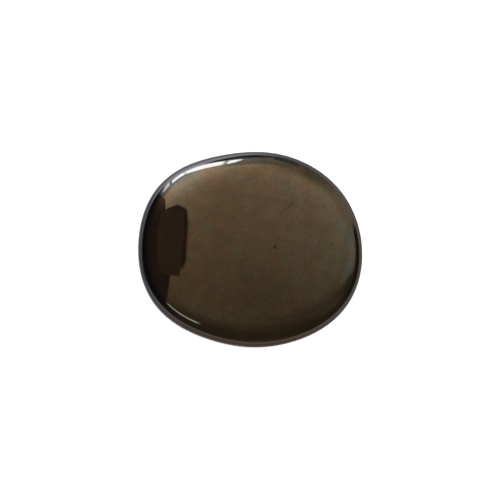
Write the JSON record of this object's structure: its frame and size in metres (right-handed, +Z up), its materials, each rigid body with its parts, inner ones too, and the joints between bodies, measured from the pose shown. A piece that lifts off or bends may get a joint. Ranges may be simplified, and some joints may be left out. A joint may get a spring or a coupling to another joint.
{
  "type": "hematite disc",
  "caption": "Flat tumbled pebble of massive hematite with a slightly squared oval outline, rounded edge and mirror polish, lying on a small flat spot.",
  "frame": {"origin": "on the flat spot of the underside, straight below the middle of the stone's outline", "axes": "+X along the longest way across the stone, +Y along the shorter way across, +Z up through its thickness"},
  "size_m": [0.0422, 0.0372, 0.0074],
  "materials": {
    "hematite": "dark warm grey with a metallic mirror polish, faint red-brown mottling and a few dull pin-prick pits"
  },
  "bodies": {
    "root": {"hematite_disc": "hematite"}
  },
  "joints": []
}
